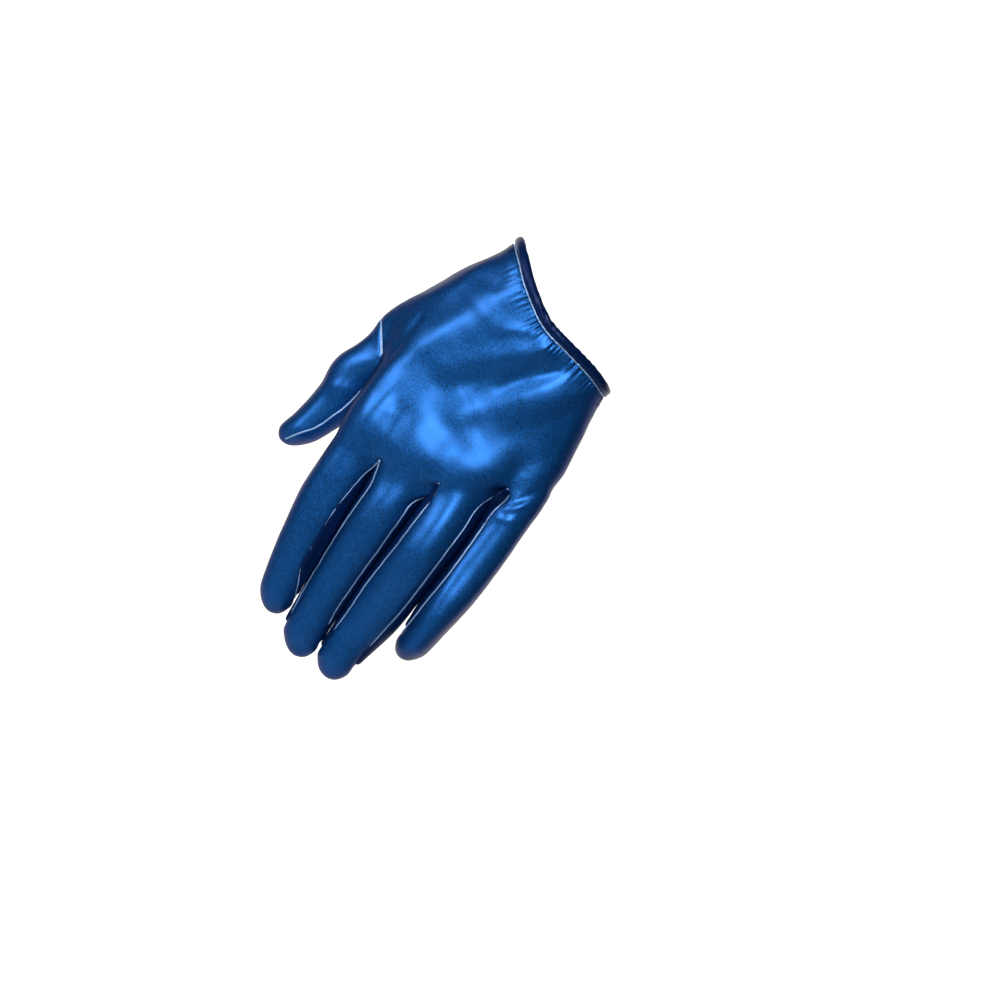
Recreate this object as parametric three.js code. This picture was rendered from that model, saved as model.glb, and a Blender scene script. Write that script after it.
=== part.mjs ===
// Half palm dance glove of satin for a left hand, in millimetres, worn form.
// The fingers hang along -Z and the wrist opening is up. The back of the hand faces -Y and
// the thumb is at -X. The origin is the middle of the wrist opening.
import * as THREE from 'three';

const radians = THREE.MathUtils.degToRad;
const mix = THREE.MathUtils.lerp;

// Cloth
const WALL = 1.1;
const SEAM_GAP = 0.34;

// Rolled binding round the wrist opening
const BINDING_WIDTH = 3.8;
const BINDING_THICKNESS = 3;
const BINDING_STANDS_OUT = 0.3;
const BINDING_SIDES = 8;

// How far one form runs into the next where they meet
const KNUCKLE_BLEND = 4;
const FINGER_BLEND = 2.5;
const THENAR_BLEND = 9;
const WEB_BLEND = 0.6;

// Rows of cloth along the hand
const RIM_TO_WEB_ROWS = 11;
const WEB_TO_KNUCKLE_ROWS = 5;
const FINGER_ROWS = 11;
const THUMB_ROWS = 8;
const TIP_ANGLES = [24, 48, 70];
const SLIT_TOP_DEPTH = 2;
const FOURCHETTE_PRESS = [0, 0.6, 1, 0.6, 0];
const FOURCHETTE_COLUMNS = FOURCHETTE_PRESS.length - 1;
const FOURCHETTE_OPENS = 0.25;
const FOURCHETTE_END = 0.45;
const FOURCHETTE_APART = 0.3;
const FINGER_RADIUS = 8;
const SEAM_FARTHEST_OUT = 0.97;
const SEAM_HALF_DEGREES = THREE.MathUtils.radToDeg(SEAM_GAP / 2 / FINGER_RADIUS);

// The surface search along a ray
const RAY_STEP = 0.4;
const RAY_LENGTH = 60;
const BISECTIONS = 22;
const SLOPE_STEP = 0.05;
const CENTRE_SIZE = 1e-6;

// The palm, as level sections: height, edges at the thumb and little finger side, and half depth.
const PALM = sections(['z', 'left', 'right', 'middle', 'depth'], [
  [30, -25, 29, 0, 18],
  [10, -27.5, 29.3, 0, 18],
  [-10, -33, 29.6, 0, 17.2],
  [-25, -41, 30.2, 0, 16.2],
  [-40, -46.6, 31.7, 0, 15],
  [-55, -47.6, 32.4, 0, 13.6],
  [-70, -47.8, 32.2, 0, 12.2],
  [-90, -48.2, 30.8, 0, 10.6],
]);
const PALM_POWER = 2.4;
const PALM_END = { reach: 3.2, length: 13 };

// The fingers in the same columns, from inside the palm to the middle of the fingertip.
const FINGERS = {
  index: {
    sections: sections(['z', 'left', 'right', 'middle', 'depth'], [
      [-60, -47.5, -28.6, 0, 8.8],
      [-90, -48.3, -29.4, 0.4, 8.3],
      [-106, -48.7, -29.5, 1.2, 8],
      [-123, -46.9, -29.3, 3.2, 7.6],
      [-136, -45, -28.9, 5.6, 7.3],
      [-145, -43.2, -28.7, 7.6, 7],
      [-155, -41.7, -27.2, 9.8, 7],
    ]),
    tip: { z: -145, length: 9 },
    seams: {
      right: sections(['z', 'x'], [
        [-85.5, -30.2], [-95, -31.1], [-103, -32.3], [-113, -33], [-130, -32.8], [-145, -28.7],
      ]),
    },
  },
  middle: {
    sections: sections(['z', 'left', 'right', 'middle', 'depth'], [
      [-60, -28.2, -7, 0, 9],
      [-90, -28.2, -8.2, 0.3, 8.5],
      [-106, -28.5, -9.5, 1, 8.2],
      [-123, -28.5, -10.9, 2.9, 7.8],
      [-142, -27.9, -11.5, 6.6, 7.4],
      [-154, -27.1, -11.7, 9.6, 7],
      [-164, -25.6, -10.2, 12, 7],
    ]),
    tip: { z: -154, length: 9.3 },
    seams: {
      left: sections(['z', 'x'], [
        [-85.5, -27], [-95, -27.1], [-103, -27.5], [-121, -28.2], [-140, -27.8], [-154, -27.1],
      ]),
      right: sections(['z', 'x'], [
        [-81.5, -7.1], [-90, -9.2], [-96, -10], [-110, -11],
        [-125, -12.2], [-142, -12.8], [-154, -11.7],
      ]),
    },
  },
  ring: {
    sections: sections(['z', 'left', 'right', 'middle', 'depth'], [
      [-60, -6.4, 14.2, 0, 9],
      [-80, -6.6, 14.2, 0.1, 8.7],
      [-95, -7.5, 13.6, 0.5, 8.4],
      [-108, -8.7, 12.4, 1.5, 8],
      [-123, -10.1, 10.6, 3.4, 7.7],
      [-138, -10.8, 7.9, 6.1, 7.4],
      [-155, -11.1, 3.8, 10, 6.9],
      [-165, -10.5, 4.4, 12.6, 6.9],
    ]),
    tip: { z: -155, length: 9 },
    seams: {
      left: sections(['z', 'x'], [
        [-81.5, -3.8], [-90, -5.3], [-97, -6], [-108, -7],
        [-125, -8.8], [-142, -9.7], [-155, -11.1],
      ]),
      right: sections(['z', 'x'], [
        [-70, 14.2], [-76, 12.5], [-85, 12], [-97, 11],
        [-110, 10], [-125, 8.5], [-142, 5.6], [-155, 3.8],
      ]),
    },
  },
  little: {
    sections: sections(['z', 'left', 'right', 'middle', 'depth'], [
      [-50, 14.5, 32.3, 0, 8.4],
      [-66, 15.4, 32.4, 0.1, 8.2],
      [-80, 15.3, 31.6, 0.4, 7.9],
      [-92, 14.8, 31.1, 0.8, 7.6],
      [-105, 13.5, 30.1, 1.5, 7.2],
      [-118, 12.4, 28.2, 2.5, 6.9],
      [-134, 12, 25, 4.2, 6.3],
      [-143, 10.8, 23.8, 5.2, 6.3],
    ]),
    tip: { z: -134, length: 8.5 },
    seams: {
      left: sections(['z', 'x'], [
        [-70, 19], [-74, 17.6], [-80, 16.9], [-92, 16.4],
        [-105, 15.4], [-118, 13.8], [-127, 12.9], [-134, 12],
      ]),
    },
  },
};

// The thumb and the mound that carries it, in the same columns, from the wrist down.
const THUMB = {
  sections: sections(['z', 'left', 'right', 'middle', 'depth'], [
    [20, -29.4, -4, 2, 13],
    [12, -31, -6, 2.6, 13],
    [3, -36.2, -10, 4, 14],
    [-18, -47.8, -20, 7.5, 14],
    [-37, -57.3, -31, 11, 12.5],
    [-46, -58.6, -36.5, 12.5, 11],
    [-54, -62, -41, 13.5, 10],
    [-61, -64.8, -45, 14.5, 9.4],
    [-70, -64.2, -46.6, 15.5, 8.8],
    [-79, -65.3, -48.6, 16.4, 8.3],
    [-88, -67.6, -52.9, 17.2, 7.6],
    [-98, -71.6, -56.9, 18.2, 7.6],
  ]),
  tip: { z: -88, length: 9.4 },
  top: { z: -8, length: 26 },
};
const FINGER_TOP = { z: -66, length: 30 };
const THUMB_DIRECTION = new THREE.Vector3(-0.3, 0.1, -0.95).normalize();

// The corners of the web, sought round the thumb between a turn that faces the hand and clear ones.
const FACING_HAND = { rim: 30, web: 66 };
const BACK_CLEAR = 170;
const PALM_CLEAR = -150;
const CORNER_MARGIN = radians(14);
const CREASE_DROP = 16;
const PALM_PIVOT = { rimX: -14, webX: -36, y: 1 };
const THUMB_AXIS_X = { rim: -22, web: -50 };

// Lines across the hand that rows of cloth follow, as height at each place from left to right.
const RIM_LINE = sections(['x', 'z'], [
  [-60, 15.5], [-34, 15.2], [-30, 13], [-25, 7.5], [-20, 2.5], [-15, -1.8], [-10, -5.6], [-5, -8.8],
  [0, -10.8], [10, -13.2], [20, -15.5], [29, -18.5], [40, -22],
]);
const WEB_LINE = sections(['x', 'z'], [
  [-66, -24.5], [-57, -38], [-48, -51.5], [-45.5, -55], [-41, -58], [-30, -60],
  [-10, -59], [10, -54], [25, -46.5], [40, -40],
]);
const KNUCKLE_LINE = sections(['x', 'z'], [
  [-60, -82], [-48, -83], [-28.7, -83.4], [-5.3, -79.3], [17.2, -67.4], [31, -60], [45, -56],
]);
const CROTCHES = [
  { name: 'fourchette_index_middle', left: 'index', right: 'middle', x: -28.7 },
  { name: 'fourchette_middle_ring', left: 'middle', right: 'ring', x: -5.3 },
  { name: 'fourchette_ring_little', left: 'ring', right: 'little', x: 17.2 },
];

// Columns of cloth round the hand, from the outseam over the back to the thumb and home over
// the palm. Each row starts a stretch of columns, and gives the spoke that it starts on at the
// rim, the web line and the knuckle line: where the spoke stands and where it points, with 0
// degrees to the outseam, 90 to the back and 180 to the thumb side. Above the web line the two
// stretches beside the thumb start on the corners of its mound, so they have only the last two.
const STRETCHES = stretches([
  'columns', 'rimX', 'rimAngle', 'webX', 'webAngle', 'knuckleX', 'knuckleAngle',
], {
  outerBack: [2, 14, 0, 18, 0, 22, 0],
  littleBack: [3, 22, 90, 25, 90, 27, 90],
  ringBack: [5, 13, 90, 16, 90, 17.2, 90],
  middleBack: [5, 0, 90, -4.5, 90, -5.3, 90],
  indexBack: [4, -11, 90, -26, 90, -28.7, 90],
  radialEdge: [2, -18, 95, -40, 95, -41, 103],
  thumbBase: [8, null, null, null, null, -40, 136],
  indexPalm: [3, null, null, null, null, -37.5, 270],
  middlePalm: [5, -11, 270, -26, 270, -28.7, 270],
  ringPalm: [5, 0, 270, -4.5, 270, -5.3, 270],
  littlePalm: [3, 13, 270, 16, 270, 17.2, 270],
  outerPalm: [2, 22, 270, 25, 270, 27, 270],
});
const COLUMN_COUNT = Object.values(STRETCHES).reduce((sum, stretch) => sum + stretch.columns, 0);
const LAST_BODY_ROW = RIM_TO_WEB_ROWS + WEB_TO_KNUCKLE_ROWS;

// The strips of cloth on each finger: the stretches that they hang from, and for each edge the
// finger's side, the angle of that side, and which way the seam lies from it.
const STRIPS = {
  index: [{ from: 'indexBack', to: 'middlePalm', start: ['right', 0, 1], end: ['right', 360, -1] }],
  middle: [
    { from: 'middleBack', to: 'indexBack', start: ['right', 0, 1], end: ['left', 180, -1] },
    { from: 'middlePalm', to: 'ringPalm', start: ['left', 180, 1], end: ['right', 360, -1] },
  ],
  ring: [
    { from: 'ringBack', to: 'middleBack', start: ['right', 0, 1], end: ['left', 180, -1] },
    { from: 'ringPalm', to: 'littlePalm', start: ['left', 180, 1], end: ['right', 360, -1] },
  ],
  little: [{ from: 'littlePalm', to: 'ringBack', start: ['left', 180, 1], end: ['left', 540, -1] }],
};

// Pulled folds on the back, as straight ridges (or valleys, under zero) with soft sides and ends.
const FOLDS = folds(['x1', 'z1', 'x2', 'z2', 'width', 'height'], [
  [1, -16, -24, -40, 5, 1.3],
  [20, -22, -12, -52, 5.5, 1.2],
  [8, -20, -14, -40, 4.5, -1],
  [-28, -2, -42, -24, 7, -1],
  [-12, 0, -32, -12, 5, 0.9],
  [-31, -64, -31, -82, 4.5, -0.9],
  [-7, -66, -7, -78, 4, -0.7],
  [17, -58, 15, -66, 4, -0.8],
]);

const CLOTH = { color: '#0b50a4', roughness: 0.34, metalness: 0 };
const SHADED_CLOTH = { color: '#083d84', roughness: 0.36, metalness: 0 };

// A table of level sections that gives smooth values between its rows, and level ones past them.
function sections(names, rows) {
  const keys = rows.map((row) => row[0]);
  const slopes = rows.map((row, i) => Array.from(row.keys(), (column) => slopeAt(rows, i, column)));
  return (key) => {
    const rising = keys[keys.length - 1] > keys[0];
    let i = 0;
    while (i < rows.length - 2 && (rising ? key > keys[i + 1] : key < keys[i + 1])) i += 1;
    const span = keys[i + 1] - keys[i];
    const t = THREE.MathUtils.clamp((key - keys[i]) / span, 0, 1);
    const valueOf = (column) => hermite(
      rows[i][column],
      rows[i + 1][column],
      slopes[i][column] * span,
      slopes[i + 1][column] * span,
      t,
    );
    return Object.fromEntries(names.slice(1).map((name, n) => [name, valueOf(n + 1)]));
  };
}

// The slope of one column at a row: none at the ends and turning points, so nothing overshoots.
function slopeAt(rows, i, column) {
  if (i === 0 || i === rows.length - 1) return 0;
  const before = (rows[i][column] - rows[i - 1][column]) / (rows[i][0] - rows[i - 1][0]);
  const after = (rows[i + 1][column] - rows[i][column]) / (rows[i + 1][0] - rows[i][0]);
  return before * after <= 0 ? 0 : (2 * before * after) / (before + after);
}

function hermite(a, b, slopeA, slopeB, t) {
  const t2 = t * t;
  const t3 = t2 * t;
  const values = a * (2 * t3 - 3 * t2 + 1) + b * (3 * t2 - 2 * t3);
  return values + slopeA * (t3 - 2 * t2 + t) + slopeB * (t3 - t2);
}

function stretches(names, rows) {
  let first = 0;
  const named = {};
  for (const [name, values] of Object.entries(rows)) {
    named[name] = Object.fromEntries(names.map((key, n) => [key, values[n]]));
    named[name].first = first;
    first += named[name].columns;
  }
  return named;
}

function folds(names, rows) {
  return rows.map((row) => Object.fromEntries(names.map((name, n) => [name, row[n]])));
}

// Signed distance to a limb, close to its surface: an oval of the given power whose ends round off.
function limbDistance(point, section, power, ends) {
  const a = (section.right - section.left) / 2;
  const x = (point.x - (section.right + section.left) / 2) / a;
  const y = (point.y - section.middle) / section.depth;
  const z = ends.reduce((sum, end) => sum + Math.max(0, (point.z - end.z) / end.length), 0);
  const direction = ends.find((end) => (point.z - end.z) / end.length > 0);
  const size = (Math.abs(x) ** power + Math.abs(y) ** power + z ** power) ** (1 / power);
  if (size < CENTRE_SIZE) return -Math.min(a, section.depth);
  const scale = size ** (1 - power);
  const slope = Math.hypot(
    (scale * Math.abs(x) ** (power - 1)) / a,
    (scale * Math.abs(y) ** (power - 1)) / section.depth,
    direction ? (scale * z ** (power - 1)) / direction.length : 0,
  );
  return (size - 1) / slope;
}

function palmDistance(point) {
  const z = KNUCKLE_LINE(point.x).z - PALM_END.reach + PALM_END.length;
  return limbDistance(point, PALM(point.z), PALM_POWER, [{ z, length: -PALM_END.length }]);
}

function fingerDistance(name, point) {
  const { sections: shape, tip } = FINGERS[name];
  return limbDistance(point, shape(point.z), 2, [{ z: tip.z, length: -tip.length }, FINGER_TOP]);
}

function thumbDistance(point) {
  const ends = [{ z: THUMB.tip.z, length: -THUMB.tip.length }, THUMB.top];
  return limbDistance(point, THUMB.sections(point.z), 2, ends);
}

// The smaller of two distances, rounded over where they are nearly the same.
function blend(a, b, reach) {
  const near = Math.max(reach - Math.abs(a - b), 0);
  return Math.min(a, b) - (near * near) / (4 * reach);
}

function handDistance(point) {
  const fingers = Object.keys(FINGERS).map((name) => fingerDistance(name, point));
  const joined = fingers.reduce((a, b) => blend(a, b, FINGER_BLEND));
  return blend(palmDistance(point), joined, KNUCKLE_BLEND);
}

function oneFingerDistance(name) {
  return (point) => blend(palmDistance(point), fingerDistance(name, point), KNUCKLE_BLEND);
}

// The hand with its thumb mound, whose fillet narrows from the rim (0) to the web line (1).
function moundDistance(share) {
  const reach = mix(THENAR_BLEND, WEB_BLEND, share);
  return (point) => blend(handDistance(point), thumbDistance(point), reach);
}

// The first place along a path where it leaves a form.
function leave(distance, path) {
  let inside = 0;
  let outside = RAY_STEP;
  while (outside < RAY_LENGTH && distance(path(outside)) < 0) {
    inside = outside;
    outside += RAY_STEP;
  }
  for (let i = 0; i < BISECTIONS; i += 1) {
    const middle = (inside + outside) / 2;
    if (distance(path(middle)) < 0) inside = middle;
    else outside = middle;
  }
  return path((inside + outside) / 2);
}

function normalAt(distance, point) {
  const slope = ['x', 'y', 'z'].map((axis) => {
    const ahead = point.clone();
    const behind = point.clone();
    ahead[axis] += SLOPE_STEP;
    behind[axis] -= SLOPE_STEP;
    return distance(ahead) - distance(behind);
  });
  return new THREE.Vector3(...slope).normalize();
}

// A path outward in a row of cloth, whose height depends on where across the hand it is.
function rowPath(spoke, height) {
  const across = Math.cos(spoke.turn);
  const forward = -Math.sin(spoke.turn);
  return (s) => {
    const x = spoke.x + s * across;
    return new THREE.Vector3(x, spoke.y + s * forward, height(x));
  };
}

// A spoke from the middle of a limb's section, pointing to the given part of its oval.
function ovalSpoke(section, degrees) {
  const a = (section.right - section.left) / 2;
  const turn = radians(degrees);
  return {
    x: (section.right + section.left) / 2,
    y: section.middle,
    turn: Math.atan2(section.depth * Math.sin(turn), a * Math.cos(turn)),
  };
}

// Height of the pulled folds at a place on the back, and none on the palm.
function foldHeight(point, normal) {
  const facing = Math.max(0, -normal.y);
  return facing * FOLDS.reduce((sum, fold) => {
    const along = new THREE.Vector2(fold.x2 - fold.x1, fold.z2 - fold.z1);
    const from = new THREE.Vector2(point.x - fold.x1, point.z - fold.z1);
    const share = THREE.MathUtils.clamp(from.dot(along) / along.lengthSq(), 0, 1);
    const away = from.addScaledVector(along, -share).length() / fold.width;
    return sum + fold.height * Math.exp(-away * away);
  }, 0);
}

// One sheet of cloth: named points with their outward normals, joined by faces, and given a wall.
class Sheet {
  constructor() {
    this.index = new Map();
    this.outer = [];
    this.inner = [];
    this.faces = [];
  }

  add(key, outer, normal) {
    if (this.index.has(key)) return;
    this.index.set(key, this.outer.length);
    this.outer.push(outer);
    this.inner.push(outer.clone().addScaledVector(normal, -WALL));
  }

  // A face with four corners, or three where two of them share a point.
  quad(...keys) {
    const corners = keys.map((key) => this.index.get(key));
    const [a, b, c, d] = corners;
    if (a !== b && b !== c && c !== a) this.faces.push([a, b, c]);
    if (a !== c && c !== d && d !== a) this.faces.push([a, c, d]);
  }

  // The closed solid: both sides, and a rim along each edge that only one face has.
  solid() {
    const count = this.outer.length;
    const triangles = [];
    const edges = new Set();
    for (const [a, b, c] of this.faces) {
      triangles.push([a, b, c], [a + count, c + count, b + count]);
      for (const [from, to] of [[a, b], [b, c], [c, a]]) edges.add(`${from} ${to}`);
    }
    for (const edge of edges) {
      const [from, to] = edge.split(' ').map(Number);
      if (edges.has(`${to} ${from}`)) continue;
      triangles.push([to, from, from + count], [to, from + count, to + count]);
    }
    return solidOf([...this.outer, ...this.inner], triangles);
  }
}

function solidOf(points, triangles) {
  const geometry = new THREE.BufferGeometry();
  const places = points.flatMap((point) => point.toArray());
  geometry.setAttribute('position', new THREE.Float32BufferAttribute(places, 3));
  geometry.setIndex(triangles.flat());
  geometry.computeVertexNormals();
  return geometry;
}

// The spoke of a column at one of the three named lines, between the starts of its stretches.
function lineSpoke(column, line) {
  const names = Object.keys(STRETCHES);
  const found = names.findLastIndex((name) => STRETCHES[name].first <= column);
  const here = STRETCHES[names[found]];
  const next = STRETCHES[names[(found + 1) % names.length]];
  const share = (column - here.first) / here.columns;
  const lastTurn = found === names.length - 1 ? 360 : 0;
  return {
    x: mix(here[`${line}X`], next[`${line}X`], share),
    y: 0,
    turn: radians(mix(here[`${line}Angle`], next[`${line}Angle`] + lastTurn, share)),
  };
}

function mixSpokes(a, b, share) {
  return { x: mix(a.x, b.x, share), y: mix(a.y, b.y, share), turn: mix(a.turn, b.turn, share) };
}

// The level of a row of cloth at each place across the hand, from one named line (0) to the next (1).
function rowHeight(upper, lower, share) {
  return (x) => mix(upper(x).z, lower(x).z, share);
}

function thumbSpoke(share, turn) {
  const x = mix(THUMB_AXIS_X.rim, THUMB_AXIS_X.web, share);
  const middle = ovalSpoke(THUMB.sections(mix(RIM_LINE(x).z, WEB_LINE(x).z, share)), 0);
  return { ...middle, turn };
}

// The thumb's outline in a row of the mound, at a turn round the thumb.
function thumbOutline(share, turn, drop = 0) {
  const height = rowHeight(RIM_LINE, WEB_LINE, share);
  return leave(thumbDistance, rowPath(thumbSpoke(share, turn), (x) => height(x) - drop));
}

// The turn at which the thumb's outline comes clear of the hand, between two turns in degrees.
function cornerTurn(share, heldDegrees, clearDegrees) {
  let held = radians(heldDegrees);
  let clear = radians(clearDegrees);
  for (let i = 0; i < BISECTIONS; i += 1) {
    const turn = (held + clear) / 2;
    if (handDistance(thumbOutline(share, turn)) < 0) held = turn;
    else clear = turn;
  }
  return (held + clear) / 2;
}

// The two turns round the thumb between which its mound stands out of the hand.
const turnsFound = new Map();
function moundTurns(share) {
  if (!turnsFound.has(share)) {
    const facing = mix(FACING_HAND.rim, FACING_HAND.web, share);
    turnsFound.set(share, [
      cornerTurn(share, facing, BACK_CLEAR),
      cornerTurn(share, facing, PALM_CLEAR) + 2 * Math.PI,
    ]);
  }
  return turnsFound.get(share);
}

// Where the thumb's surface leaves the hand below the web line: the crease in the web.
function creasePoint(turn) {
  let held = 0;
  let clear = CREASE_DROP;
  for (let i = 0; i < BISECTIONS; i += 1) {
    const drop = (held + clear) / 2;
    if (handDistance(thumbOutline(1, turn, drop)) < 0) held = drop;
    else clear = drop;
  }
  return thumbOutline(1, turn, (held + clear) / 2);
}

// A spoke from inside the edge of the palm to a point beside the thumb.
function pivotSpoke(share, point) {
  const x = mix(PALM_PIVOT.rimX, PALM_PIVOT.webX, share);
  const turn = Math.atan2(PALM_PIVOT.y - point.y, point.x - x);
  return { x, y: PALM_PIVOT.y, turn: turn < 0 ? turn + 2 * Math.PI : turn };
}

const between = (column, from, to) => column > from.first && column < to.first;
const shareOf = (column, stretch) => (column - stretch.first) / stretch.columns;

// The spoke of a column between the rim (0) and the web line (1).
function moundSpoke(column, share) {
  const { radialEdge, thumbBase, indexPalm, middlePalm } = STRETCHES;
  const plain = (at) => mixSpokes(lineSpoke(at, 'rim'), lineSpoke(at, 'web'), share);
  const [backTurn, palmTurn] = moundTurns(share);
  const corner = (turn) => pivotSpoke(share, thumbOutline(share, turn));
  if (between(column, radialEdge, thumbBase)) {
    return mixSpokes(plain(radialEdge.first), corner(backTurn), shareOf(column, radialEdge));
  }
  if (between(column, indexPalm, middlePalm)) {
    return mixSpokes(corner(palmTurn), plain(middlePalm.first), shareOf(column, indexPalm));
  }
  if (column >= thumbBase.first && column <= indexPalm.first) {
    const clear = [backTurn + CORNER_MARGIN, palmTurn - CORNER_MARGIN];
    return thumbSpoke(share, mix(clear[0], clear[1], shareOf(column, thumbBase)));
  }
  return plain(column);
}

// The spoke of a column on the web line, where the trank goes on below the thumb.
function webSpoke(column) {
  const { radialEdge, thumbBase, indexPalm, middlePalm } = STRETCHES;
  const [back, palm] = moundTurns(1).map((turn) => pivotSpoke(1, thumbOutline(1, turn)));
  if (between(column, radialEdge, thumbBase)) {
    return mixSpokes(lineSpoke(radialEdge.first, 'web'), back, shareOf(column, radialEdge));
  }
  if (column >= thumbBase.first && column <= indexPalm.first) {
    return mixSpokes(back, palm, shareOf(column, thumbBase));
  }
  if (between(column, indexPalm, middlePalm)) {
    return mixSpokes(palm, lineSpoke(middlePalm.first, 'web'), shareOf(column, indexPalm));
  }
  return lineSpoke(column, 'web');
}

// A point of the cloth with its normal, its folds raised, and the level that it had before them.
function clothPoint(distance, point) {
  const normal = normalAt(distance, point);
  const raised = point.clone().addScaledVector(normal, foldHeight(point, normal));
  return { point: raised, normal, level: point.z };
}

// A point of the trank between the rim and the web line; row 0 is the rim.
function moundPoint(column, row) {
  const share = row / RIM_TO_WEB_ROWS;
  const distance = moundDistance(share);
  const height = rowHeight(RIM_LINE, WEB_LINE, share);
  return clothPoint(distance, leave(distance, rowPath(moundSpoke(column, share), height)));
}

// A point of the trank between the web line and the knuckle line; row 0 is the web line.
function knucklePoint(column, row) {
  const share = row / WEB_TO_KNUCKLE_ROWS;
  const height = rowHeight(WEB_LINE, KNUCKLE_LINE, share);
  const spoke = mixSpokes(webSpoke(column), lineSpoke(column, 'knuckle'), share);
  return clothPoint(handDistance, leave(handDistance, rowPath(spoke, height)));
}

// How far down a finger a row lies, from the knuckle line (0) to the middle of its tip (1).
function fingerShare(row, length) {
  const top = SLIT_TOP_DEPTH / length;
  return row === 0 ? 0 : mix(top, 1, (row - 1) / (FINGER_ROWS - 1));
}

// Angle from a finger's side to the seam on it, at a height: none at the middle of the tip.
function seamDegrees(finger, side, z) {
  const { sections: shape, seams, tip } = FINGERS[finger];
  if (z <= tip.z) return 0;
  const section = shape(z);
  const middle = (section.left + section.right) / 2;
  const away = Math.abs(seams[side](z).x - middle) / ((section.right - section.left) / 2);
  return THREE.MathUtils.radToDeg(Math.acos(Math.min(away, SEAM_FARTHEST_OUT)));
}

// A point on a finger at a height and at an angle round its oval.
function fingerPoint(finger, z, degrees) {
  const distance = oneFingerDistance(finger);
  const spoke = ovalSpoke(FINGERS[finger].sections(z), degrees);
  return clothPoint(distance, leave(distance, rowPath(spoke, () => z)));
}

// A point on a fingertip: its turn round the finger, and its angle down from the side to the end.
function tipPoint(distance, shape, tip, degrees, down) {
  const section = shape(tip.z);
  const spoke = ovalSpoke(section, degrees);
  const a = (section.right - section.left) / 2;
  const round = Math.cos(radians(down));
  const direction = new THREE.Vector3(
    a * Math.cos(radians(degrees)) * round,
    -section.depth * Math.sin(radians(degrees)) * round,
    -tip.length * Math.sin(radians(down)),
  ).normalize();
  const start = new THREE.Vector3(spoke.x, spoke.y, tip.z);
  return clothPoint(distance, leave(distance, (s) => start.clone().addScaledVector(direction, s)));
}

// Rows of one closed tip, from its middle ring to the point where they end.
function addTip(sheet, name, angles, distance, shape, tip) {
  const count = angles.length;
  TIP_ANGLES.forEach((down, ring) => {
    angles.forEach((degrees, k) => {
      const { point, normal } = tipPoint(distance, shape, tip, degrees, down);
      sheet.add(`${name} tip ${ring} ${k}`, point, normal);
    });
  });
  const end = tipPoint(distance, shape, tip, 0, 90);
  sheet.add(`${name} end`, end.point, end.normal);
  const key = (ring, k) => (ring < 0 ? `${name} ring ${k % count}` : `${name} tip ${ring} ${k % count}`);
  for (let k = 0; k < count; k += 1) {
    for (let ring = -1; ring < TIP_ANGLES.length - 1; ring += 1) {
      sheet.quad(key(ring, k), key(ring, k + 1), key(ring + 1, k + 1), key(ring + 1, k));
    }
    const last = TIP_ANGLES.length - 1;
    sheet.quad(key(last, k), key(last, k + 1), `${name} end`, `${name} end`);
  }
}

const bodyKey = (column, row) => `body ${column % COLUMN_COUNT} ${row}`;

// The angle round a finger of a strip's edge, beside its seam, or at the finger's side at the tip.
function stripEdge(finger, [side, base, sign], z) {
  const seam = seamDegrees(finger, side, z);
  return base + sign * (seam > 0 ? seam + SEAM_HALF_DEGREES : 0);
}

// One strip of cloth down a finger, from the knuckle line to the ring at the middle of its tip.
function addStrip(sheet, finger, number, levels) {
  const { tip } = FINGERS[finger];
  const strips = STRIPS[finger];
  const { from, to, start, end } = strips[number];
  const { first } = STRETCHES[from];
  const columns = (STRETCHES[to].first - first + COLUMN_COUNT) % COLUMN_COUNT;
  const key = (k, row) => {
    if (row === 0) return bodyKey(first + k, LAST_BODY_ROW);
    if (row < FINGER_ROWS) return `${finger} ${number} ${k} ${row}`;
    return `${finger} ring ${(k + number * columns) % (columns * strips.length)}`;
  };
  for (let k = 0; k <= columns; k += 1) {
    const top = levels.get(bodyKey(first + k, LAST_BODY_ROW));
    for (let row = 1; row <= FINGER_ROWS; row += 1) {
      const z = mix(top, tip.z, fingerShare(row, top - tip.z));
      const degrees = mix(stripEdge(finger, start, z), stripEdge(finger, end, z), k / columns);
      const { point, normal } = fingerPoint(finger, z, degrees);
      sheet.add(key(k, row), point, normal);
    }
  }
  for (let k = 0; k < columns; k += 1) {
    for (let row = 0; row < FINGER_ROWS; row += 1) {
      sheet.quad(key(k, row), key(k + 1, row), key(k + 1, row + 1), key(k, row + 1));
    }
  }
  return Array.from({ length: columns }, (_, k) => mix(start[1], end[1], k / columns));
}

// The finger's strips of cloth between its seams, and its closed tip.
function addFinger(sheet, finger, levels) {
  const { sections: shape, tip } = FINGERS[finger];
  const ringAngles = STRIPS[finger].flatMap((_, number) => addStrip(sheet, finger, number, levels));
  addTip(sheet, finger, ringAngles, oneFingerDistance(finger), shape, tip);
}

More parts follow.
